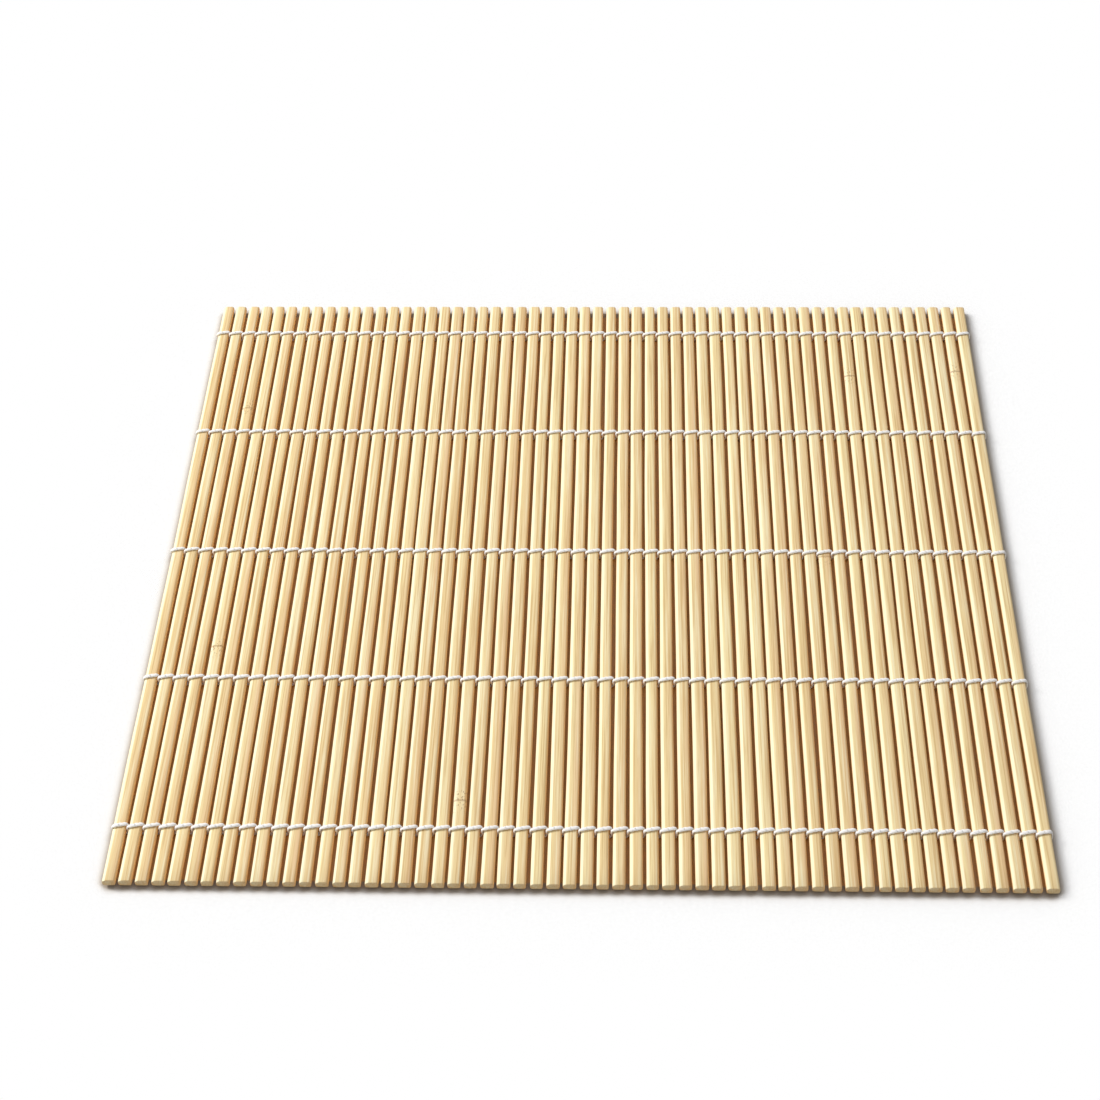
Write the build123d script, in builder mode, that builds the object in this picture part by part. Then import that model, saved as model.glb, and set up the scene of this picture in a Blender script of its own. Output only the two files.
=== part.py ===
"""Sushi rolling mat: a row of flat bamboo slats, bound side by side by five rows of cotton cord.

Each cord row is two yarns. On every slat one yarn passes over and the other under, and in every gap
they cross, so a gap is a hinge about the crossing. A yarn is made here as a short strand above and
below each slat, a round crossing in each gap, and a turn round the outer side of each end slat.

Millimetres. The origin is under the middle of the mat, on the surface it lies on. The slats run
along Y and lie side by side along X, and Z is up.
"""

import os

from build123d import *

# Driving dimensions of the slats
slat_count = 58
slat_length = 240.0
slat_width = 3.44
slat_thickness = 2.0
slat_gap = 0.70
slat_top_crown = 0.25
slat_bottom_crown = 0.15
slat_edge_radius = 0.45

# Driving dimensions of the cord, where it lies flattened on a slat
strand_width = 1.20
strand_height = 0.60
strand_length = 3.30
strand_end_height = 0.28
strand_slant = 12.0
cord_clearance = 0.05

# Where the cord rows lie, from the front edge, as shares of the slats' length
cord_row_shares = (0.075, 0.298, 0.512, 0.735, 0.940)

# The crossing of the two yarns in a gap, and the yarn's turn round the outer side of an end slat
crossing_radius = 0.25
crossing_length = 1.10
turn_length = 2.60
turn_height = 0.42
turn_end_height = 0.22

# Places that follow from the sizes
pitch = slat_width + slat_gap
side = slat_width / 2
top = slat_thickness / 2
strand_base = top + cord_clearance
middle_height = strand_height + strand_base
turn_base = (slat_count - 1) * pitch / 2 + side + cord_clearance
cord_row_places = [(share - 1 / 2) * slat_length for share in cord_row_shares]
strands_over = [Location((0, place, strand_base), (0, 0, strand_slant)) for place in cord_row_places]
strands_under = [Location((0, place, -strand_base), (180, 0, strand_slant)) for place in cord_row_places]


def slat_centre(number):
    """How far along X the middle of a slat is. The slats are numbered from 1, at the left."""
    return (number - (slat_count + 1) / 2) * pitch


def yarn(length, height, end_height):
    """A flattened length of yarn along X, flat on the XY plane and rounded both ways above it."""
    with BuildPart() as loaf:
        with BuildSketch(Plane.XZ):
            with BuildLine():
                ThreePointArc((-length / 2, end_height), (0, height), (length / 2, end_height))
                Polyline(
                    (length / 2, end_height),
                    (length / 2, 0),
                    (-length / 2, 0),
                    (-length / 2, end_height),
                )
            make_face()
        extrude(amount=strand_width / 2, both=True)
        with BuildSketch(Plane.YZ):
            Ellipse(strand_width / 2, height)
        extrude(amount=length / 2, both=True, mode=Mode.INTERSECT)
    return loaf.part


os.makedirs("parts", exist_ok=True)

# One slat with its crowned faces and rounded edges
with BuildPart() as slat:
    with BuildSketch(Plane.XZ):
        with BuildLine():
            ThreePointArc((-side, top - slat_top_crown), (0, top), (side, top - slat_top_crown))
            Line((side, top - slat_top_crown), (side, slat_bottom_crown - top))
            ThreePointArc((side, slat_bottom_crown - top), (0, -top), (-side, slat_bottom_crown - top))
            Line((-side, slat_bottom_crown - top), (-side, top - slat_top_crown))
        make_face()
        fillet(vertices(), slat_edge_radius)
    extrude(amount=slat_length / 2, both=True)

# The yarn pieces of one slat: strands over and under it, slanted opposite ways, and the crossings
# of the yarns in the gap to its right, each about that gap's hinge axis
strand = yarn(strand_length, strand_height, strand_end_height)
with BuildPart() as bound_slat:
    add(slat.part)
    with Locations(*strands_over, *strands_under):
        add(strand)
with BuildPart() as hinged_slat:
    add(bound_slat.part)
    with Locations(*[(pitch / 2, place, 0) for place in cord_row_places]):
        Cylinder(crossing_radius, crossing_length, rotation=(90, 0, 0))

# The slats side by side. The last one has no gap to its right
for number in range(1, slat_count + 1):
    with BuildPart() as section:
        with Locations((slat_centre(number), 0, middle_height)):
            add(hinged_slat.part if number < slat_count else bound_slat.part, clean=False)
    section.part.label = f"slat_{number:02d}"
    export_step(section.part, f"parts/slat_{number:02d}.step")

# The turns of the cord rows round the outer sides of the first and the last slat
turn = yarn(turn_length, turn_height, turn_end_height)
for label, out in (("cord_turns_left", -1), ("cord_turns_right", 1)):
    around_side = [
        Location((out * turn_base, place, middle_height), (0, out * 90, 0)) for place in cord_row_places
    ]
    with BuildPart() as turns:
        with Locations(*around_side):
            add(turn)
    turns.part.label = label
    export_step(turns.part, f"parts/{label}.step")
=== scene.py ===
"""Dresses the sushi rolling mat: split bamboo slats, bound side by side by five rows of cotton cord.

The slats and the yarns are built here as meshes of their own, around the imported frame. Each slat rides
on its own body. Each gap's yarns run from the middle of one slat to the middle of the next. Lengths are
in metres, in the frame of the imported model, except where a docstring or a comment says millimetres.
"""

import logging
import math
from dataclasses import dataclass
from enum import Enum
from typing import Any
from typing import ClassVar
from typing import NamedTuple

import bpy
import numpy as np
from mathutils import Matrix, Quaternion
from mathutils import Vector


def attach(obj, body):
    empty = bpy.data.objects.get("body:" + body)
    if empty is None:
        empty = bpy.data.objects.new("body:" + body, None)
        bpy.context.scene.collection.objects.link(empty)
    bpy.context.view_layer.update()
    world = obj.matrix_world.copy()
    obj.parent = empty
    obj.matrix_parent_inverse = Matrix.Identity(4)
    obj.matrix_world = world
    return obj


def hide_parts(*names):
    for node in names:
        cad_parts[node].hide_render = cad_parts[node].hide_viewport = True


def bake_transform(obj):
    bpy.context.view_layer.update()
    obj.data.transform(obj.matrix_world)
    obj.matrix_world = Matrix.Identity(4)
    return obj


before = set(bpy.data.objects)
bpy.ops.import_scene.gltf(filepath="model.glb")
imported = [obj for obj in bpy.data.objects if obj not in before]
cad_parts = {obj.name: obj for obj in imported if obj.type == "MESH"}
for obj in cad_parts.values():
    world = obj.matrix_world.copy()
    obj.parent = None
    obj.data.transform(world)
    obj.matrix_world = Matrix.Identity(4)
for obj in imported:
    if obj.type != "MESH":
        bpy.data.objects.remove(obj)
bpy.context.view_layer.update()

log = logging.getLogger("sushi_rolling_mat")

Colour = tuple[float, float, float]
Point = tuple[float, float, float]
Polygon = tuple[int, ...]
Socket = bpy.types.NodeSocket

MM = 0.001

# The texture map that the export keeps, and the clear margin of its cells, as a share
MAP_NAME = "OFBake"
MAP_MARGIN = 0.03

# The sockets of a Mix node that mixes colours, by number
MIX_SHARE = 0
MIX_UNDER = 6
MIX_OVER = 7
MIX_COLOUR = 2

# The distance to a node of the bamboo that a slat without one gets
FAR_FROM_NODE = 1.0


class Face(Enum):
    """The two faces of a slat that a yarn lies on, numbered as in the tables of small offsets."""

    FOOD = 0
    TABLE = 1


class Passage(Enum):
    """How a yarn goes through a gap, from left to right."""

    DIVES = 1
    RISES = -1


class End(Enum):
    """The two sides of the mat that the cord rows end at."""

    LEFT = -1
    RIGHT = 1


@dataclass(frozen=True)
class Ramp:
    """A span of values that turns smoothly into another: low becomes start, and high becomes end."""

    low: float
    high: float
    start: float = 0.0
    end: float = 1.0


@dataclass(frozen=True)
class Fade:
    """A share that rises from 0 to 1 over a stretch of a slat's section, in millimetres."""

    start: float
    stretch: float

    def at(self, places: np.ndarray) -> np.ndarray:
        """The share at each place."""
        return np.clip((places - self.start) / self.stretch, 0, 1)


class NodeBench:
    """The node tree of a material or a world, with short ways to add nodes and to link them."""

    def __init__(self, owner: bpy.types.Material | bpy.types.World) -> None:
        """Starts with an empty tree.

        Args:
            owner: The material or the world.
        """
        owner.use_nodes = True
        self.tree = owner.node_tree
        self.tree.nodes.clear()

    def node(self, kind: str, **settings: Any) -> bpy.types.Node:
        """Adds a node.

        Args:
            kind: Blender's name for the node's type.
            **settings: Properties of the node, set by name.

        Returns:
            The new node.
        """
        made = self.tree.nodes.new(kind)
        for key, value in settings.items():
            setattr(made, key, value)
        return made

    def join(self, source: Socket, target: Socket) -> None:
        """Links an output to an input."""
        self.tree.links.new(source, target)

    def attribute(self, name: str) -> bpy.types.Node:
        """Reads a named attribute of the mesh."""
        return self.node("ShaderNodeAttribute", attribute_type="GEOMETRY", attribute_name=name)

    def noise(self, source: Socket, grain: Point, detail: float = 2.0) -> Socket:
        """A noise with grains of a given size.

        Args:
            source: The coordinates.
            grain: The size of a grain along each axis.
            detail: How many finer layers the noise has.

        Returns:
            The noise's value, about 0.5 on average.
        """
        mapping = self.node("ShaderNodeMapping")
        mapping.inputs["Scale"].default_value = tuple(1 / size for size in grain)
        texture = self.node("ShaderNodeTexNoise")
        texture.inputs["Scale"].default_value = 1.0
        texture.inputs["Detail"].default_value = detail
        self.join(source, mapping.inputs["Vector"])
        self.join(mapping.outputs["Vector"], texture.inputs["Vector"])
        return texture.outputs["Fac"]

    def openness(self, reach: float, samples: int, inside: bool = False) -> Socket:
        """How far a point of the surface is free of other pieces near it.

        Args:
            reach: How far away a piece still counts.
            samples: How many rays look for pieces.
            inside: Whether to look behind the surface and not in front of it.

        Returns:
            The free share, from 0 to 1.
        """
        made = self.node("ShaderNodeAmbientOcclusion", samples=samples, inside=inside)
        made.inputs["Distance"].default_value = reach
        return made.outputs["AO"]

    def between(self, source: Socket, ramp: Ramp) -> Socket:
        """Turns a span of values smoothly into another span.

        Args:
            source: The value to convert.
            ramp: The two spans.

        Returns:
            The converted value.
        """
        span = self.node("ShaderNodeMapRange", interpolation_type="SMOOTHSTEP")
        span.inputs["From Min"].default_value = ramp.low
        span.inputs["From Max"].default_value = ramp.high
        span.inputs["To Min"].default_value = ramp.start
        span.inputs["To Max"].default_value = ramp.end
        self.join(source, span.inputs["Value"])
        return span.outputs["Result"]

    def reckon(self, operation: str, first: Socket, second: Any = 0.0) -> Socket:
        """Does arithmetic on a value.

        Args:
            operation: Blender's name for the operation.
            first: The first value.
            second: The second value, an output or a number.

        Returns:
            The result.
        """
        made = self.node("ShaderNodeMath", operation=operation)
        self.join(first, made.inputs[0])
        if isinstance(second, (int, float)):
            made.inputs[1].default_value = second
        else:
            self.join(second, made.inputs[1])
        return made.outputs["Value"]

    def tint(self, share: Socket, under: Any, over: Any) -> Socket:
        """Mixes two colours.

        Args:
            share: How much of the second colour shows.
            under: The first colour, an output or three numbers.
            over: The second colour, an output or three numbers.

        Returns:
            The mixed colour.
        """
        mix = self.node("ShaderNodeMix", data_type="RGBA")
        self.join(share, mix.inputs[MIX_SHARE])
        for value, socket in ((under, mix.inputs[MIX_UNDER]), (over, mix.inputs[MIX_OVER])):
            if isinstance(value, tuple):
                socket.default_value = (*value, 1.0)
            else:
                self.join(value, socket)
        return mix.outputs[MIX_COLOUR]

    def finish(self, colour: Socket, roughness: Socket, height: Socket, relief: float) -> bpy.types.Node:
        """Ends a material in a Principled shader with a bump.

        Args:
            colour: The base colour.
            roughness: The roughness.
            height: The height of the surface's relief, from 0 to 1.
            relief: How far the relief stands out.

        Returns:
            The Principled shader.
        """
        shader = self.node("ShaderNodeBsdfPrincipled")
        bump = self.node("ShaderNodeBump")
        bump.inputs["Distance"].default_value = relief
        output = self.node("ShaderNodeOutputMaterial")
        self.join(height, bump.inputs["Height"])
        self.join(bump.outputs["Normal"], shader.inputs["Normal"])
        self.join(colour, shader.inputs["Base Color"])
        self.join(roughness, shader.inputs["Roughness"])
        self.join(shader.outputs["BSDF"], output.inputs["Surface"])
        return shader

    def finish_in_mix(self, output: str, share: Socket, first: Socket, second: Socket) -> None:
        """Ends a material or a world in a mix of two shaders.

        Args:
            output: Blender's name for the type of the output node.
            share: How much of the second shader shows.
            first: The first shader.
            second: The second shader.
        """
        mix = self.node("ShaderNodeMixShader")
        self.join(share, mix.inputs["Fac"])
        self.join(first, mix.inputs[1])
        self.join(second, mix.inputs[2])
        self.join(mix.outputs["Shader"], self.node(output).inputs["Surface"])


@dataclass(frozen=True)
class BambooFinish:
    """Bare split bamboo: straw and tan slat by slat, streaked lengthwise, with a painted highlight on the
    left shoulder.
    """

    straw: Colour = (0.915, 0.76, 0.41)
    tan: Colour = (0.83, 0.63, 0.32)
    blush: Colour = (0.86, 0.575, 0.345)
    # Pale streaks and blotches, and the painted highlight on each slat's left shoulder
    cream: Colour = (0.95, 0.88, 0.62)
    streak: Colour = (0.62, 0.40, 0.17)
    # The bamboo's side colour with painted warm shade, on the walls that face a gap and on each slat's
    # right edge
    side: Colour = (0.90, 0.55, 0.23)
    # The bamboo's own side colour, on the outer walls of the end slats
    open_side: Colour = (0.80, 0.615, 0.32)
    scar: Colour = (0.34, 0.18, 0.07)
    streak_grain: Point = (0.00042, 0.034, 0.00042)
    fibre_grain: Point = (0.00013, 0.007, 0.00013)
    blotch_grain: Point = (0.0021, 0.055, 0.0021)
    fleck_grain: Point = (0.00030, 0.0009, 0.00030)
    streak_detail: float = 3.0
    fleck_detail: float = 1.0
    warm_band: Ramp = Ramp(0.32, 0.60, 0.35, 1.0)
    tan_blotch: Ramp = Ramp(0.50, 0.72, 0.0, 0.55)
    pale_blotch: Ramp = Ramp(0.28, 0.46, 0.40, 0.0)
    dark_streak: Ramp = Ramp(0.50, 0.66, 0.0, 0.62)
    pale_streak: Ramp = Ramp(0.34, 0.46, 0.55, 0.0)
    dark_fibre: Ramp = Ramp(0.50, 0.70, 0.0, 0.30)
    # How the painted highlight on the left shoulder follows the fibres
    highlight_fibre: Ramp = Ramp(0.35, 0.65, 1.0, 0.75)
    side_shade_cover: float = 0.85
    pore: Ramp = Ramp(0.44, 0.58, 0.15, 0.60)
    node_line: Ramp = Ramp(0.00012, 0.00055, 0.50, 0.0)
    near_node: Ramp = Ramp(0.0012, 0.0060, 1.0, 0.0)
    fleck: Ramp = Ramp(0.60, 0.68, 0.0, 0.80)
    dullness: Ramp = Ramp(0.30, 0.70, 0.52, 0.68)
    gloss: float = 0.30
    streak_relief: float = 0.6
    fibre_relief: float = 0.4
    relief: float = 0.00006

    def material(self) -> bpy.types.Material:
        """Builds the material, which reads the slats' own attributes.

        Returns:
            The material.
        """
        material = bpy.data.materials.new("split_bamboo")
        bench = NodeBench(material)
        place = bench.node("ShaderNodeTexCoord").outputs["Object"]
        streaks = bench.noise(place, self.streak_grain, self.streak_detail)
        fibres = bench.noise(place, self.fibre_grain)
        blotches = bench.noise(place, self.blotch_grain)
        tone = bench.attribute("slat_tone").outputs["Fac"]
        warmth = bench.attribute("slat_warmth").outputs["Fac"]
        shoulder = bench.attribute("painted_highlight").outputs["Fac"]
        side_and_painted_shade = bench.attribute("side_and_painted_shade").outputs["Fac"]
        gap_side = bench.attribute("gap_side").outputs["Fac"]
        cut_end = bench.attribute("cut_end").outputs["Fac"]
        from_node = bench.reckon("ABSOLUTE", bench.attribute("from_node").outputs["Fac"])

        colour = bench.tint(tone, self.straw, self.tan)
        warm = bench.reckon("MULTIPLY", warmth, bench.between(blotches, self.warm_band))
        colour = bench.tint(warm, colour, self.blush)
        for pattern, ramp, over in (
            (blotches, self.tan_blotch, self.tan),
            (blotches, self.pale_blotch, self.cream),
            (streaks, self.dark_streak, self.streak),
            (streaks, self.pale_streak, self.cream),
            (fibres, self.dark_fibre, self.streak),
        ):
            colour = bench.tint(bench.between(pattern, ramp), colour, over)
        # Painted highlight: cream on every slat's left shoulder, where the lamp's light falls
        painted_highlight_share = bench.reckon("MULTIPLY", shoulder, bench.between(fibres, self.highlight_fibre))
        colour = bench.tint(painted_highlight_share, colour, self.cream)
        # Painted warm shade on the walls that face a gap and on each right edge that faces one; the outer
        # walls keep the bamboo's side colour
        side_and_shade_colour = bench.tint(gap_side, self.open_side, self.side)
        colour = bench.tint(bench.reckon("MULTIPLY", side_and_painted_shade, self.side_shade_cover), colour, side_and_shade_colour)
        pores = bench.reckon("MULTIPLY", cut_end, bench.between(fibres, self.pore))
        colour = bench.tint(pores, colour, self.streak)
        colour = bench.tint(bench.between(from_node, self.node_line), colour, self.scar)
        flecks = bench.between(bench.noise(place, self.fleck_grain, self.fleck_detail), self.fleck)
        flecks = bench.reckon("MULTIPLY", flecks, bench.between(from_node, self.near_node))
        colour = bench.tint(flecks, colour, self.scar)

        roughness = bench.between(streaks, self.dullness)
        height = bench.reckon("MULTIPLY", streaks, self.streak_relief)
        height = bench.reckon("ADD", height, bench.reckon("MULTIPLY", fibres, self.fibre_relief))
        shader = bench.finish(colour, roughness, height, self.relief)
        shader.inputs["Specular IOR Level"].default_value = self.gloss
        return material


@dataclass(frozen=True)
class CottonFinish:
    """Undyed white cotton yarn of two plies, with its fibres lying at a slant."""

    white: Colour = (0.98, 0.97, 0.965)
    shade: Colour = (0.84, 0.78, 0.77)
    fibre_slant: float = math.radians(38)
    fibre_grain: Point = (0.0011, 0.00011, 0.00011)
    lump_grain: Point = (0.0016, 0.0006, 0.0006)
    lump_detail: float = 1.0
    shaded_fibre: Ramp = Ramp(0.50, 0.75, 0.0, 0.30)
    shaded_lump: Ramp = Ramp(0.52, 0.75, 0.0, 0.18)
    shaded_groove: float = 0.40
    dullness: Ramp = Ramp(0.3, 0.7, 0.78, 0.92)
    sheen: float = 0.25
    glow_through: float = 0.35
    glow_spread: Point = (1.0, 1.0, 1.0)
    glow_reach: float = 0.0005
    relief: float = 0.00004

    def material(self) -> bpy.types.Material:
        """Builds the material, which reads each point's place along its straightened yarn.

        Returns:
            The material.
        """
        material = bpy.data.materials.new("cotton_yarn")
        bench = NodeBench(material)
        turned = bench.node("ShaderNodeMapping")
        turned.inputs["Rotation"].default_value = (0.0, 0.0, self.fibre_slant)
        bench.join(bench.attribute("along_yarn").outputs["Vector"], turned.inputs["Vector"])
        fibres = bench.noise(turned.outputs["Vector"], self.fibre_grain)
        lumps = bench.noise(turned.outputs["Vector"], self.lump_grain, self.lump_detail)
        groove = bench.attribute("ply_groove").outputs["Fac"]

        colour = bench.tint(bench.between(fibres, self.shaded_fibre), self.white, self.shade)
        colour = bench.tint(bench.between(lumps, self.shaded_lump), colour, self.shade)
        colour = bench.tint(bench.reckon("MULTIPLY", groove, self.shaded_groove), colour, self.shade)
        shader = bench.finish(colour, bench.between(fibres, self.dullness), fibres, self.relief)
        shader.inputs["Sheen Weight"].default_value = self.sheen
        shader.inputs["Subsurface Weight"].default_value = self.glow_through
        shader.inputs["Subsurface Radius"].default_value = self.glow_spread
        shader.inputs["Subsurface Scale"].default_value = self.glow_reach
        return material


def smooth_run(points: np.ndarray, count: int) -> np.ndarray:
    """Samples a smooth curve through points. The first and the last point only give it its direction.

    Args:
        points: The points, one row each.
        count: How many samples each stretch between two points gets.

    Returns:
        The samples, one row each.
    """
    shares = np.linspace(0, 1, count, endpoint=False)[:, None]
    rows = []
    for before, start, end, after in zip(points[:-3], points[1:-2], points[2:-1], points[3:]):
        leave = (end - before) / 2
        arrive = (after - start) / 2
        gap = end - start
        rows.append(
            start
            + leave * shares
            + (3 * gap - 2 * leave - arrive) * shares**2
            + (leave + arrive - 2 * gap) * shares**3
        )
    rows.append(points[-2][None, :])
    return np.concatenate(rows)


def ring_faces(stations: int, around: int, first: int) -> list[Polygon]:
    """The faces of a closed tube, whose points go ring by ring.

    Args:
        stations: How many rings there are.
        around: How many points each ring has.
        first: The number of the tube's first point.

    Returns:
        The faces as tuples of point numbers.
    """
    faces = []
    for ring in range(stations - 1):
        low = first + ring * around
        for step in range(around):
            onward = (step + 1) % around
            faces.append((low + step, low + onward, low + around + onward, low + around + step))
    faces.append(tuple(first + step for step in reversed(range(around))))
    last = first + (stations - 1) * around
    faces.append(tuple(last + step for step in range(around)))
    return faces


@dataclass(frozen=True)
class MapCell:
    """A rectangle of a piece's texture map."""

    left: float = 0.0
    low: float = 0.0
    wide: float = 1.0
    high: float = 1.0

    def part(self, index: int, columns: int, rows: int) -> "MapCell":
        """One of the equal parts of the cell.

        Args:
            index: Which part, counted along the rows.
            columns: How many parts there are side by side.
            rows: How many parts there are one above the other.

        Returns:
            The part.
        """
        wide = self.wide / columns
        high = self.high / rows
        left = self.left + index % columns * wide
        low = self.low + index // columns * high
        return MapCell(left, low, wide, high)

    def spots(self, across: np.ndarray, upward: np.ndarray) -> np.ndarray:
        """Puts places from 0 to 1 in the cell, clear of its edges.

        Args:
            across: The places across.
            upward: The places upward.

        Returns:
            The spots on the map, one row each.
        """
        inner = 1 - 2 * MAP_MARGIN
        return np.stack(
            [
                self.left + self.wide * (MAP_MARGIN + inner * across),
                self.low + self.high * (MAP_MARGIN + inner * upward),
            ],
            axis=-1,
        ).reshape(-1, 2)


def tube_map(
    along: np.ndarray,
    ring: np.ndarray,
    runs: list[MapCell],
    caps: tuple[MapCell, MapCell],
) -> np.ndarray:
    """Lays a closed tube's faces out on a texture map, in the order that ring_faces gives them.

    Args:
        along: How far each ring is along the tube.
        ring: The outline of a ring, one row for each point.
        runs: The cells that equal lengths of the tube go in.
        caps: The cells of the first and of the last cap.

    Returns:
        A spot on the map for each corner of each face.
    """
    share = (along - along[0]) / (along[-1] - along[0]) * len(runs)
    sides = np.linalg.norm(np.roll(ring, -1, axis=0) - ring, axis=1)
    lap = np.concatenate([[0.0], np.cumsum(sides)]) / sides.sum()
    spots = []
    for start, end in zip(share[:-1], share[1:]):
        run = min(len(runs) - 1, int((start + end) / 2))
        near = np.full(len(ring), start - run)
        far = np.full(len(ring), end - run)
        across = np.stack([near, near, far, far], axis=1)
        upward = np.stack([lap[:-1], lap[1:], lap[1:], lap[:-1]], axis=1)
        spots.append(runs[run].spots(across, upward))
    flat = (ring - ring.min(axis=0)) / (ring.max(axis=0) - ring.min(axis=0))
    spots.append(caps[0].spots(flat[::-1, 0], flat[::-1, 1]))
    spots.append(caps[1].spots(flat[:, 0], flat[:, 1]))
    return np.concatenate(spots)


def mesh_piece(
    name: str,
    points: np.ndarray,
    faces: list[Polygon],
    spots: np.ndarray,
    material: bpy.types.Material,
    attributes: dict[str, np.ndarray],
    sharp_angle: float,
) -> bpy.types.Object:
    """Makes an object of a mesh, its texture map and its attributes.

    Args:
        name: The piece's name.
        points: The points, one row each.
        faces: The faces as tuples of point numbers.
        spots: A spot on the texture map for each corner of each face.
        material: The finish.
        attributes: Values for each point, by name. Rows of three are vectors.
        sharp_angle: Edges that bend more than this, in radians, stay sharp.

    Returns:
        The new object, in the scene.
    """
    mesh = bpy.data.meshes.new(name)
    mesh.from_pydata(points.tolist(), [], faces)
    mesh.update()
    mesh.uv_layers.new(name=MAP_NAME).data.foreach_set("uv", spots.astype(np.float32).ravel())
    mesh.shade_smooth()
    mesh.set_sharp_from_angle(angle=sharp_angle)
    for key, values in attributes.items():
        kind, channel = ("FLOAT_VECTOR", "vector") if values.ndim == 2 else ("FLOAT", "value")
        layer = mesh.attributes.new(key, kind, "POINT")
        layer.data.foreach_set(channel, values.astype(np.float32).ravel())
    mesh.materials.append(material)
    piece = bpy.data.objects.new(name, mesh)
    bpy.context.scene.collection.objects.link(piece)
    return piece


@dataclass
class MatLayout:
    """Where the slats and the cord rows lie, the same as in the part's own source."""

    slat_count: int = 58
    slat_length: float = 240.0 * MM
    slat_width: float = 3.44 * MM
    slat_thickness: float = 2.0 * MM
    slat_gap: float = 0.70 * MM
    strand_height: float = 0.60 * MM
    cord_clearance: float = 0.05 * MM
    cord_row_shares: tuple[float, ...] = (0.075, 0.298, 0.512, 0.735, 0.940)

    @property
    def pitch(self) -> float:
        """The distance from one slat to the next."""
        return self.slat_width + self.slat_gap

    @property
    def middle_height(self) -> float:
        """The height of the slats' middle above the surface that the mat lies on."""
        return self.strand_height + self.cord_clearance + self.slat_thickness / 2

    @property
    def cord_row_places(self) -> list[float]:
        """Where the cord rows lie along the slats."""
        return [(share - 1 / 2) * self.slat_length for share in self.cord_row_shares]

    def slat_centre(self, number: int) -> float:
        """How far along X the middle of a slat is."""
        return (number - (self.slat_count + 1) / 2) * self.pitch

    def gap_centre(self, number: int) -> float:
        """How far along X the middle of the gap on a slat's right is."""
        return (self.slat_centre(number) + self.slat_centre(number + 1)) / 2

    @staticmethod
    def section(number: int) -> str:
        """The name of the body that a slat rides on."""
        return f"section_{number:02d}"


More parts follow.
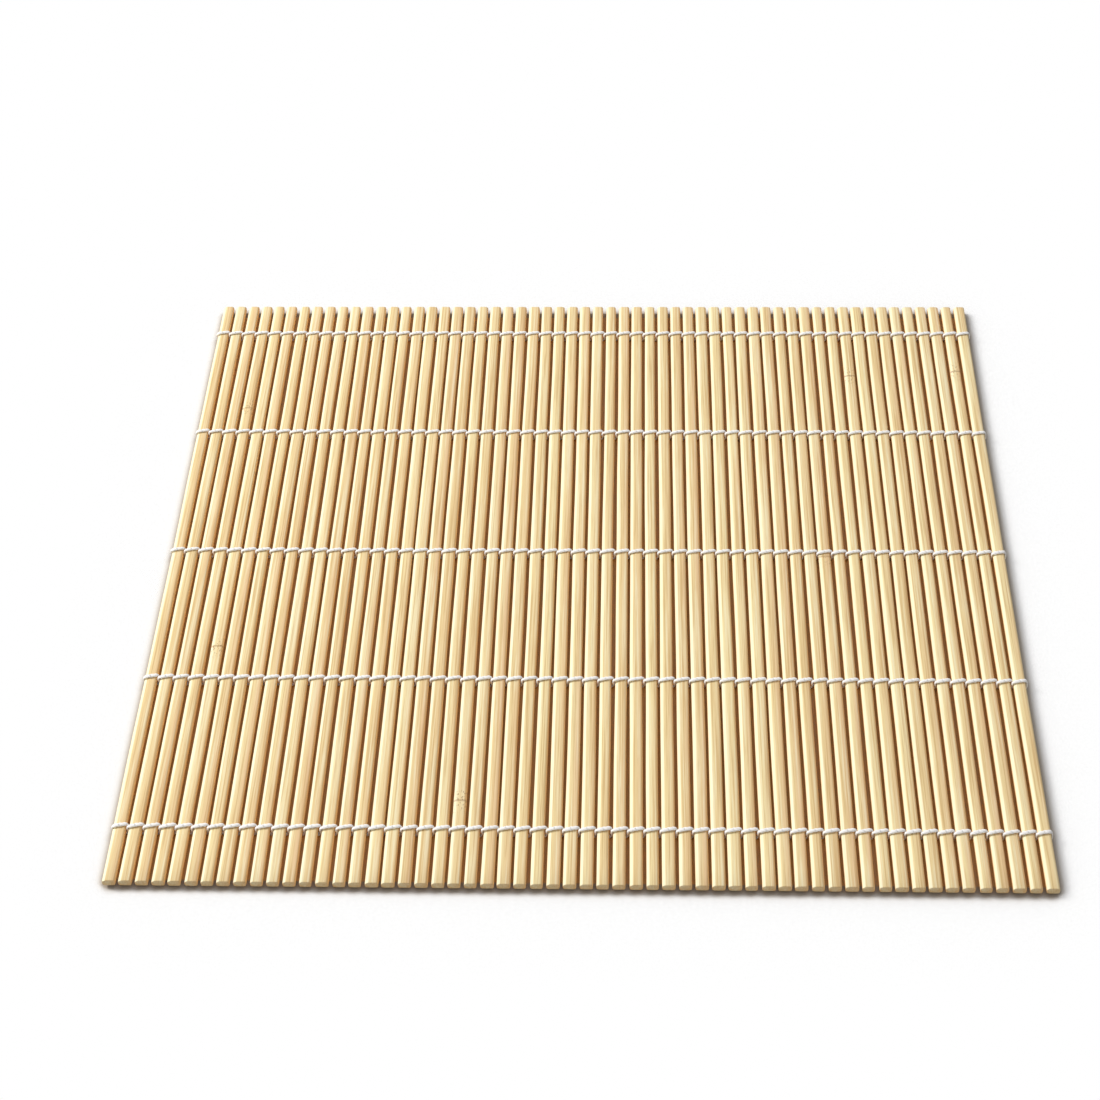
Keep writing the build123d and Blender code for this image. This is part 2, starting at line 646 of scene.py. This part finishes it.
@dataclass
class BambooSlats:
    """The 58 slats. Each is split by hand, so no two have quite the same section, line or tone.

    The section is in millimetres from its middle, clockwise seen from the near end. The fades run over it:
    the painted highlight's to the left, the painted shade's and the warmth's to the right, the side's to
    both.
    """

    layout: MatLayout
    material: bpy.types.Material
    seed: int = 58
    width_seed: int = 24
    section_outline: tuple[tuple[float, float], ...] = (
        (-1.69, -0.84),
        (-1.69, 0.38),
        (-1.52, 0.60),
        (-0.98, 0.90),
        (-0.72, 1.00),
        (1.05, 1.00),
        (1.43, 0.87),
        (1.69, 0.50),
        (1.69, -0.84),
        (1.15, -1.02),
        (-1.15, -1.02),
    )
    corner_cuts: int = 2
    corner_share: float = 0.25
    ridge_shift: float = 0.16
    shoulder_drop: float = 0.08
    run_step: float = 6.0 * MM
    end_bevel: float = 0.16 * MM
    end_inset: float = 0.10 * MM
    widest: float = 1.010
    slimming: float = 0.120
    wander_waves: tuple[tuple[float, float], ...] = ((0.7, 0.50), (1.9, 0.32), (4.3, 0.18))
    line_wander: float = 0.135 * MM
    width_wander: float = 0.030
    thickness_wander: float = 0.020
    twist_wander: float = math.radians(1.1)
    node_share: float = 0.15
    node_zone: float = 0.45
    node_swell: float = 0.030
    node_reach: float = 1.6 * MM
    node_rings: tuple[float, ...] = (-1.5, -0.8, -0.4, 0, 0.4, 0.8, 1.5)
    # Where the painted highlight lies: the left shoulder only
    shoulder_out: Fade = Fade(0.78, 0.16)
    shoulder_up: Fade = Fade(0.15, 0.35)
    side_out: Fade = Fade(1.45, 0.22)
    side_down: Fade = Fade(-0.55, 0.45)
    # Where the painted shade on the right edge lies
    right_shade_out: Fade = Fade(0.98, 0.50)
    right_shade_down: Fade = Fade(-1.11, 0.34)
    warmth_out: Fade = Fade(-0.35, 1.30)
    least_warmth: float = 0.25
    warmth_spread: float = 0.60
    map_rows: int = 4
    sharp_angle: float = math.radians(50)

    # Which points of the outline chance moves
    LEFT_SHOULDER: ClassVar[slice] = slice(1, 3)
    LEFT_RIDGE: ClassVar[slice] = slice(3, 5)
    RIGHT_RIDGE: ClassVar[slice] = slice(5, 7)
    RIGHT_SHOULDER: ClassVar[int] = 7

    def outline(self, draw: np.random.Generator) -> np.ndarray:
        """One slat's section, with its ridges where chance put them.

        Args:
            draw: The source of chance.

        Returns:
            The outline's points, one row each, with its corners cut off.
        """
        points = np.array(self.section_outline)
        points[self.LEFT_RIDGE, 0] += draw.uniform(-self.ridge_shift, self.ridge_shift)
        points[self.RIGHT_RIDGE, 0] += draw.uniform(-self.ridge_shift / 2, self.ridge_shift / 2)
        points[self.LEFT_SHOULDER, 1] += draw.uniform(-self.shoulder_drop, self.shoulder_drop)
        points[self.RIGHT_SHOULDER, 1] += draw.uniform(-self.shoulder_drop, self.shoulder_drop)
        for _ in range(self.corner_cuts):
            onward = np.roll(points, -1, axis=0)
            near = points * (1 - self.corner_share) + onward * self.corner_share
            far = points * self.corner_share + onward * (1 - self.corner_share)
            points = np.stack([near, far], axis=1).reshape(-1, 2)
        return points

    def stations(self, node_place: float | None) -> np.ndarray:
        """Where the slat's rings lie along its length.

        Args:
            node_place: Where the bamboo's node crosses this slat, or None.

        Returns:
            The places along Y, from the near end to the far end.
        """
        half = self.layout.slat_length / 2
        places = list(np.arange(-half + self.run_step, half - self.run_step / 2, self.run_step))
        if node_place is not None:
            places += [node_place + ring * self.node_reach for ring in self.node_rings]
        return np.array([-half, -half + self.end_bevel, *sorted(places), half - self.end_bevel, half])

    def wander(self, draw: np.random.Generator, places: np.ndarray, reach: float) -> np.ndarray:
        """A slow seeded waver along the slat.

        Args:
            draw: The source of chance.
            places: The places along Y.
            reach: The waver's largest size.

        Returns:
            The waver at each place.
        """
        total = np.zeros(len(places))
        for waves, share in self.wander_waves:
            turn = 2 * math.pi * (waves * places / self.layout.slat_length + draw.random())
            total += share * np.sin(turn)
        return reach * total

    def points(
        self,
        number: int,
        draw: np.random.Generator,
        breadth: float,
        outline: np.ndarray,
        node_place: float | None,
    ) -> np.ndarray:
        """Sweeps a slat's section along its wavering line.

        Args:
            number: The slat's number, from 1 at the left.
            draw: The source of chance.
            breadth: How wide the slat is, as a share of the usual width.
            outline: The slat's section.
            node_place: Where the bamboo's node crosses this slat, or None.

        Returns:
            The points ring by ring, one row each.
        """
        places = self.stations(node_place)
        shift = self.wander(draw, places, self.line_wander)
        wide = breadth + self.wander(draw, places, self.width_wander)
        thick = 1 + self.wander(draw, places, self.thickness_wander)
        twist = self.wander(draw, places, self.twist_wander)
        if node_place is not None:
            swell = self.node_swell * np.exp(-(((places - node_place) / self.node_reach) ** 2))
            wide = wide + swell
            thick = thick + swell / 2
        inset = np.zeros(len(places))
        inset[[0, -1]] = self.end_inset / (self.layout.slat_thickness / 2)

        across = outline[None, :, 0] * MM * (wide * (1 - inset / 2))[:, None]
        upward = outline[None, :, 1] * MM * (thick * (1 - inset))[:, None]
        cosine = np.cos(twist)[:, None]
        sine = np.sin(twist)[:, None]
        x = self.layout.slat_centre(number) + shift[:, None] + across * cosine - upward * sine
        y = np.broadcast_to(places[:, None], x.shape)
        z = self.layout.middle_height + across * sine + upward * cosine
        return np.stack([x, y, z], axis=2).reshape(-1, 3)

    def marks(
        self,
        number: int,
        draw: np.random.Generator,
        outline: np.ndarray,
        points: np.ndarray,
        node_place: float | None,
    ) -> dict[str, np.ndarray]:
        """What the finish reads at each point of a slat.

        Args:
            number: The slat's number, from 1 at the left.
            draw: The source of chance.
            outline: The slat's section.
            points: The slat's points.
            node_place: Where the bamboo's node crosses this slat, or None.

        Returns:
            The attributes by name.
        """
        x, z = outline.T
        rings = len(points) // len(outline)
        # The left shoulder gets a painted highlight
        shoulder = self.shoulder_out.at(-x) * self.shoulder_up.at(z)
        side = self.side_out.at(np.abs(x)) * self.side_down.at(-z)
        # The right edge gets painted shade, and the walls that face a gap get painted shade over their
        # side colour
        right_edge_shade = self.right_shade_out.at(x) * self.right_shade_down.at(-z)
        faces_gap = np.where(x < 0, number > 1, number < self.layout.slat_count)
        cut_end = np.zeros((rings, len(outline)))
        cut_end[[0, -1]] = 1.0
        from_node = np.full(len(points), FAR_FROM_NODE)
        if node_place is not None:
            from_node = points[:, 1] - node_place
        tone = draw.random()
        warmth = self.least_warmth + self.warmth_spread * draw.random()
        return {
            "slat_tone": np.full(len(points), tone),
            "slat_warmth": np.tile(self.warmth_out.at(x) * warmth, rings),
            "painted_highlight": np.tile(shoulder, rings),
            "side_and_painted_shade": np.tile(np.maximum(side, right_edge_shade), rings),
            "gap_side": np.tile(faces_gap.astype(float), rings),
            "cut_end": cut_end.ravel(),
            "from_node": from_node,
        }

    def build(self, number: int, draw: np.random.Generator, breadth: float) -> bpy.types.Object:
        """Builds one slat and puts it on its body.

        Args:
            number: The slat's number, from 1 at the left.
            draw: The source of chance.
            breadth: How wide the slat is, as a share of the usual width.

        Returns:
            The slat.
        """
        node_place = None
        if draw.random() < self.node_share:
            node_place = draw.uniform(-self.node_zone, self.node_zone) * self.layout.slat_length
        outline = self.outline(draw)
        points = self.points(number, draw, breadth, outline, node_place)
        attributes = self.marks(number, draw, outline, points, node_place)
        places = points[:: len(outline), 1]
        faces = ring_faces(len(places), len(outline), 0)
        rows = [MapCell().part(row, 1, self.map_rows + 1) for row in range(self.map_rows + 1)]
        caps = (rows[-1].part(0, self.map_rows, 1), rows[-1].part(1, self.map_rows, 1))
        spots = tube_map(places, outline, rows[:-1], caps)
        name = f"bamboo_slat_{number:02d}"
        piece = mesh_piece(name, points, faces, spots, self.material, attributes, self.sharp_angle)
        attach(piece, self.layout.section(number))
        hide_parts(f"slat_{number:02d}")
        return piece

    def build_all(self) -> list[bpy.types.Object]:
        """Builds the slats from left to right.

        Returns:
            The slats.
        """
        draw = np.random.default_rng(self.seed)
        width_draw = np.random.default_rng(self.width_seed)
        slats = []
        for number in range(1, self.layout.slat_count + 1):
            breadth = self.widest - self.slimming * width_draw.random() ** 2
            slats.append(self.build(number, draw, breadth))
        return slats


class YarnRun(NamedTuple):
    """A stretch of a yarn: its middle line, one row for each ring, and its width and height there."""

    line: np.ndarray
    widths: np.ndarray
    heights: np.ndarray


class YarnTube(NamedTuple):
    """A yarn's mesh, and each point's place along the straightened yarn and depth in a groove."""

    points: np.ndarray
    faces: list[Polygon]
    straight: np.ndarray
    groove: np.ndarray


@dataclass
class CordRows:
    """The five cord rows. In each, two yarns cross in every gap and change faces.

    Each table gives half of a yarn's line, and the other half is the same the other way up. Its columns
    are how far across the yarn is, its share of the slant, its level between the faces, its width and
    its height. In gap_shape, across counts in halves of the pitch and the width goes from the crossing's
    at 0 to the strand's at 1. In turn_shape, across goes from the slat's middle at 0 to the yarn's outer
    side at 1 and the width is a share of the strand's. The height is a share of the strand's.
    """

    layout: MatLayout
    material: bpy.types.Material
    seed: int = 5
    around: int = 14
    map_columns: int = 2
    map_rows: int = 5
    run_samples: int = 3
    strand_width: float = 1.25 * MM
    crossing_width: float = 0.64 * MM
    turn_height: float = 0.42 * MM
    waist_width: float = 0.6336
    waist_height: float = 0.70
    slant_reach: float = 0.48 * MM
    gap_shape: tuple[tuple[float, ...], ...] = (
        (-1.42, -0.44, 0.990, 1.0, 1.0),
        (-1.00, 0.00, 1.000, 1.0, 1.0),
        (-0.58, 0.44, 0.990, 0.97, 0.98),
        (-0.28, 0.76, 0.935, 0.70, 0.95),
        (-0.07, 0.97, 0.790, 0.35, 0.92),
        (0.015, 1.00, 0.460, 0.05, 0.96),
        (0.00, 1.00, 0.000, 0.0, 1.0),
    )
    turn_shape: tuple[tuple[float, ...], ...] = (
        (-0.45, -0.34, 0.985, 1.0, 1.0),
        (0.00, 0.00, 1.000, 1.0, 1.0),
        (0.45, 0.34, 0.985, 1.0, 1.0),
        (0.80, 0.62, 0.860, 0.92, 0.84),
        (0.98, 0.55, 0.480, 0.648, 0.72),
    )
    half_twists: int = 5
    groove_depth: float = 0.20
    groove_sharpness: int = 4
    place_jitter: float = 0.05 * MM
    width_jitter: float = 0.07
    sharp_angle: float = math.radians(85)

    def __post_init__(self) -> None:
        """Draws the small seeded offsets of every strand."""
        draw = np.random.default_rng(self.seed)
        shape = (len(Face), len(self.layout.cord_row_shares), self.layout.slat_count + 1)
        self.offsets = draw.uniform(-self.place_jitter, self.place_jitter, shape)
        self.plumpness = 1 + draw.uniform(-self.width_jitter, self.width_jitter, shape)

    @property
    def lift(self) -> float:
        """How far a strand's middle lies above or below the slats' middle."""
        return self.layout.middle_height - self.layout.strand_height / 2

    def strand_place(self, face: Face, row: int, number: int) -> float:
        """How far along Y a strand's middle is, by its face, its row and its slat's number."""
        return self.layout.cord_row_places[row] + self.offsets[face.value, row, number]

    def strand_breadth(self, face: Face, row: int, number: int) -> float:
        """How wide a strand is at its middle, by its face, its row and its slat's number."""
        return self.strand_width * self.plumpness[face.value, row, number]

    def tube(self, run: YarnRun, first: int) -> YarnTube:
        """Builds a flattened two-ply yarn round a line.

        Args:
            run: The yarn's line, widths and heights.
            first: The number of the first point.

        Returns:
            The yarn's mesh.
        """
        line = run.line
        tangent = np.gradient(line, axis=0)
        tangent /= np.linalg.norm(tangent, axis=1)[:, None]
        along = np.concatenate([[0.0], np.cumsum(np.linalg.norm(np.diff(line, axis=0), axis=1))])
        wide = np.array([0.0, 1.0, 0.0]) - tangent[:, 1:2] * tangent
        wide /= np.linalg.norm(wide, axis=1)[:, None]
        high = np.cross(tangent, wide)
        angle = np.linspace(0, 2 * math.pi, self.around, endpoint=False)[None, :]
        lay = (self.half_twists * math.pi * along / along[-1])[:, None]
        groove = np.abs(np.sin(angle - lay)) ** self.groove_sharpness
        reach = 1 - self.groove_depth * groove
        across = np.cos(angle) * reach * run.widths[:, None] / 2
        upward = np.sin(angle) * reach * run.heights[:, None] / 2
        sideways = across[:, :, None] * wide[:, None, :]
        points = line[:, None, :] + sideways + upward[:, :, None] * high[:, None, :]
        straight = np.stack([np.broadcast_to(along[:, None], across.shape), across, upward], axis=2)
        faces = ring_faces(len(line), self.around, first)
        return YarnTube(points.reshape(-1, 3), faces, straight.reshape(-1, 3), groove.ravel())

    def gap_run(self, row: int, number: int, passage: Passage) -> YarnRun:
        """One yarn through a gap, from the middle of a slat to the middle of the next.

        Args:
            row: The cord row, from 0 at the near end.
            number: The number of the slat on the gap's left.
            passage: Whether the yarn dives or rises.

        Returns:
            The yarn's line, widths and heights.
        """
        faces = (Face.FOOD, Face.TABLE) if passage is Passage.DIVES else (Face.TABLE, Face.FOOD)
        half = self.layout.pitch / 2
        cross_y = self.layout.cord_row_places[row] + passage.value * self.slant_reach
        rows = []
        for side, face, slat, shape in (
            (1, faces[0], number, self.gap_shape),
            (-1, faces[1], number + 1, reversed(self.gap_shape[:-1])),
        ):
            strand_y = self.strand_place(face, row, slat)
            more_width = self.strand_breadth(face, row, slat) - self.crossing_width
            for place, bend, level, share, swell in shape:
                y = strand_y + (cross_y - strand_y) * bend
                width = self.crossing_width + more_width * share
                rows.append((side * place * half, y, side * level, width, swell))
        run = smooth_run(np.array(rows), self.run_samples)
        x = self.layout.gap_centre(number) + run[:, 0]
        z = self.layout.middle_height + passage.value * self.lift * run[:, 2]
        line = np.stack([x, run[:, 1], z], axis=1)
        return YarnRun(line, run[:, 3], self.layout.strand_height * run[:, 4])

    def turn_run(self, row: int, end: End) -> YarnRun:
        """The yarn round the outer side of an end slat.

        Args:
            row: The cord row, from 0 at the near end.
            end: The side of the mat.

        Returns:
            The yarn's line, widths and heights.
        """
        number = self.end_slat(end)
        start_y = self.strand_place(Face.FOOD, row, number)
        end_y = self.strand_place(Face.TABLE, row, number)
        slant = end.value * self.slant_reach
        side = self.layout.slat_width / 2 + self.layout.cord_clearance + self.turn_height / 2
        over = []
        under = []
        for place, bend, level, share, swell in self.turn_shape:
            width = self.strand_width * share
            over.append((place, start_y + slant * bend, level, width, swell))
            under.append((place, end_y - slant * bend, -level, width, swell))
        waist = (1.0, (start_y + end_y) / 2, 0.0, self.strand_width * self.waist_width, self.waist_height)
        run = smooth_run(np.array([*over, waist, *reversed(under)]), self.run_samples)
        x = self.layout.slat_centre(number) + end.value * side * run[:, 0]
        z = self.layout.middle_height + self.lift * run[:, 2]
        line = np.stack([x, run[:, 1], z], axis=1)
        return YarnRun(line, run[:, 3], self.layout.strand_height * run[:, 4])

    def end_slat(self, end: End) -> int:
        """The number of the outermost slat on a side."""
        return 1 if end is End.LEFT else self.layout.slat_count

    def gather(self, name: str, runs: list[YarnRun]) -> bpy.types.Object:
        """Makes one piece of several yarns.

        Args:
            name: The piece's name.
            runs: Each yarn's line, widths and heights.

        Returns:
            The piece.
        """
        angle = np.linspace(0, 2 * math.pi, self.around, endpoint=False)
        ring = np.stack([np.cos(angle), np.sin(angle)], axis=1)
        cap_row = MapCell().part(self.map_rows, 1, self.map_rows + 1)
        cap_count = 2 * len(runs)
        tubes: list[YarnTube] = []
        faces: list[Polygon] = []
        spots: list[np.ndarray] = []
        first = 0
        for index, run in enumerate(runs):
            tube = self.tube(run, first)
            cell = MapCell().part(index, self.map_columns, self.map_rows + 1)
            caps = (cap_row.part(2 * index, cap_count, 1), cap_row.part(2 * index + 1, cap_count, 1))
            spots.append(tube_map(tube.straight[:: self.around, 0], ring, [cell], caps))
            tubes.append(tube)
            faces += tube.faces
            first += len(tube.points)
        attributes = {
            "along_yarn": np.concatenate([tube.straight for tube in tubes]),
            "ply_groove": np.concatenate([tube.groove for tube in tubes]),
        }
        points = np.concatenate([tube.points for tube in tubes])
        flat_spots = np.concatenate(spots)
        return mesh_piece(name, points, faces, flat_spots, self.material, attributes, self.sharp_angle)

    def build_gap(self, number: int) -> bpy.types.Object:
        """Builds the yarns of one gap in all five rows.

        Args:
            number: The number of the slat on the gap's left.

        Returns:
            The piece.
        """
        rows = range(len(self.layout.cord_row_shares))
        runs = [self.gap_run(row, number, passage) for row in rows for passage in Passage]
        piece = self.gather(f"cord_gap_{number:02d}", runs)
        middle = self.layout.gap_centre(number)
        self.layout.section(number)
        self.layout.section(number + 1)
        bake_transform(piece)
        return piece

    def build_turns(self, end: End) -> bpy.types.Object:
        """Builds the yarns' turns round the outer side of an end slat.

        Args:
            end: The side of the mat.

        Returns:
            The piece.
        """
        side = end.name.lower()
        number = self.end_slat(end)
        runs = [self.turn_run(row, end) for row in range(len(self.layout.cord_row_shares))]
        piece = self.gather(f"cord_end_{side}", runs)
        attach(piece, self.layout.section(number))
        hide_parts(f"cord_turns_{side}")
        return piece

    def build_all(self) -> list[bpy.types.Object]:
        """Builds the turns at both sides and the yarns of every gap.

        Returns:
            The pieces.
        """
        turns = [self.build_turns(end) for end in End]
        gaps = [self.build_gap(number) for number in range(1, self.layout.slat_count)]
        return turns + gaps


@dataclass
class Studio:
    """A pale floor, a soft lamp at the upper left, a white surround and the camera."""

    camera_place: Point = (0.012836, -0.503687, 0.467345)
    camera_turn: float = math.radians(-2.6164)
    camera_down: float = math.radians(42.4704)
    camera_roll: float = math.radians(-1.5314)
    camera_lens: float = 78.30
    sensor_width: float = 36.0
    floor_size: float = 8.0
    floor_white: Colour = (0.93, 0.925, 0.93)
    # Painted warm light on the floor in the mat's gaps, and painted shadow on the floor close to the mat
    floor_painted_warm_light: Colour = (0.95, 0.53, 0.18)
    floor_painted_shadow: Colour = (0.40, 0.35, 0.30)
    shade_reach: float = 0.030
    gap_reach: float = 0.0035
    shade_samples: int = 12
    below_samples: int = 4
    footprint: Ramp = Ramp(0.1170, 0.1180)
    clear_of_mat: Ramp = Ramp(0.62, 0.93)
    clear_of_gap: Ramp = Ramp(0.25, 0.50)
    clear_of_slats: Ramp = Ramp(0.24, 0.40)
    far_from_mat: Ramp = Ramp(0.80, 0.985)
    mat_below: Ramp = Ramp(0.90, 0.99, 1.0, 0.0)
    lamp_place: Point = (-1.35, 0.42, 0.98)
    lamp_size: float = 0.55
    lamp_power: float = 29.0
    lamp_colour: Colour = (1.0, 0.985, 0.955)
    fill: float = 0.45
    surround_white: Colour = (1.0, 1.0, 1.0)

    def floor_material(self) -> bpy.types.Material:
        """Builds the floor's finish: white, with painted shadow by the mat and painted warm light in the
        mat's gaps.

        It is see-through far from the mat, over a mat that bends below it, and from below.

        Returns:
            The material.
        """
        material = bpy.data.materials.new("pale_floor")
        bench = NodeBench(material)
        near = bench.openness(self.shade_reach, self.shade_samples)
        close = bench.openness(self.gap_reach, self.shade_samples)
        below = bench.openness(self.shade_reach, self.below_samples, inside=True)
        geometry = bench.node("ShaderNodeNewGeometry")
        apart = bench.node("ShaderNodeSeparateXYZ")
        bench.join(geometry.outputs["Position"], apart.inputs["Vector"])
        across = bench.reckon("ABSOLUTE", apart.outputs["X"])
        along = bench.reckon("ABSOLUTE", apart.outputs["Y"])
        from_middle = bench.reckon("MAXIMUM", across, along)
        off_mat = bench.between(from_middle, self.footprint)

        # Painted shadow close to the mat, then painted warm light in the mat's gaps
        colour = bench.tint(bench.between(close, self.clear_of_mat), self.floor_painted_shadow, self.floor_white)
        out_of_gaps = bench.reckon("MAXIMUM", bench.between(close, self.clear_of_gap), off_mat)
        out_of_gaps = bench.reckon("MAXIMUM", out_of_gaps, bench.between(near, self.clear_of_slats))
        colour = bench.tint(out_of_gaps, self.floor_painted_warm_light, colour)
        solid = bench.node("ShaderNodeBsdfDiffuse")
        clear = bench.node("ShaderNodeBsdfTransparent")
        bench.join(colour, solid.inputs["Color"])

        far = bench.between(near, self.far_from_mat)
        mat_below = bench.between(below, self.mat_below)
        see_through = bench.reckon("MAXIMUM", far, mat_below)
        see_through = bench.reckon("MAXIMUM", see_through, geometry.outputs["Backfacing"])
        output = "ShaderNodeOutputMaterial"
        bench.finish_in_mix(output, see_through, solid.outputs["BSDF"], clear.outputs["BSDF"])
        return material

    def floor(self) -> None:
        """Lays the floor."""
        half = self.floor_size / 2
        corners = [(-half, -half, 0), (half, -half, 0), (half, half, 0), (-half, half, 0)]
        mesh = bpy.data.meshes.new("floor")
        mesh.from_pydata(corners, [], [(0, 1, 2, 3)])
        mesh.materials.append(self.floor_material())
        floor = bpy.data.objects.new("floor", mesh)
        bpy.context.scene.collection.objects.link(floor)

    def surround(self) -> None:
        """Makes the world white to the eye and a plain fill for the mat."""
        world = bpy.data.worlds.new("white_surround")
        bpy.context.scene.world = world
        bench = NodeBench(world)
        path = bench.node("ShaderNodeLightPath")
        fill = bench.node("ShaderNodeBackground")
        fill.inputs["Strength"].default_value = self.fill
        white = bench.node("ShaderNodeBackground")
        for background in (fill, white):
            background.inputs["Color"].default_value = (*self.surround_white, 1.0)
        seen = bench.reckon("MAXIMUM", path.outputs["Is Camera Ray"], path.outputs["Is Glossy Ray"])
        seen = bench.reckon("MAXIMUM", seen, path.outputs["Is Transmission Ray"])
        output = "ShaderNodeOutputWorld"
        bench.finish_in_mix(output, seen, fill.outputs["Background"], white.outputs["Background"])

    def lamp(self) -> None:
        """Hangs the soft lamp at the upper left, aimed at the mat."""
        light = bpy.data.lights.new("soft_lamp", "AREA")
        light.shape = "DISK"
        light.size = self.lamp_size
        light.energy = self.lamp_power
        light.color = self.lamp_colour
        lamp = bpy.data.objects.new("soft_lamp", light)
        lamp.location = self.lamp_place
        lamp.rotation_euler = (-Vector(self.lamp_place)).to_track_quat("-Z", "Y").to_euler()
        bpy.context.scene.collection.objects.link(lamp)

    def camera(self) -> None:
        """Sets the camera where the photograph was taken from."""
        forward = Vector(
            (
                math.sin(self.camera_turn) * math.cos(self.camera_down),
                math.cos(self.camera_turn) * math.cos(self.camera_down),
                -math.sin(self.camera_down),
            )
        )
        roll = Quaternion((0, 0, 1), self.camera_roll)
        data = bpy.data.cameras.new("camera")
        data.lens = self.camera_lens
        data.sensor_width = self.sensor_width
        data.dof.use_dof = False
        camera = bpy.data.objects.new("camera", data)
        camera.location = self.camera_place
        camera.rotation_mode = "QUATERNION"
        camera.rotation_quaternion = forward.to_track_quat("-Z", "Y") @ roll
        bpy.context.scene.collection.objects.link(camera)
        bpy.context.scene.camera = camera

    def build_all(self) -> None:
        """Sets up the whole studio."""
        self.floor()
        self.surround()
        self.lamp()
        self.camera()
        bpy.context.scene.view_settings.view_transform = "Standard"


def main() -> None:
    """Builds the mat and the studio in order, and reports each piece of the mat."""
    logging.basicConfig(level=logging.INFO, format="%(name)s: %(message)s")
    layout = MatLayout()
    slats = BambooSlats(layout, BambooFinish().material()).build_all()
    cords = CordRows(layout, CottonFinish().material()).build_all()
    for piece in slats + cords:
        log.info("%s: %d points", piece.name, len(piece.data.vertices))
    Studio().build_all()


if __name__ == "__main__":
    main()
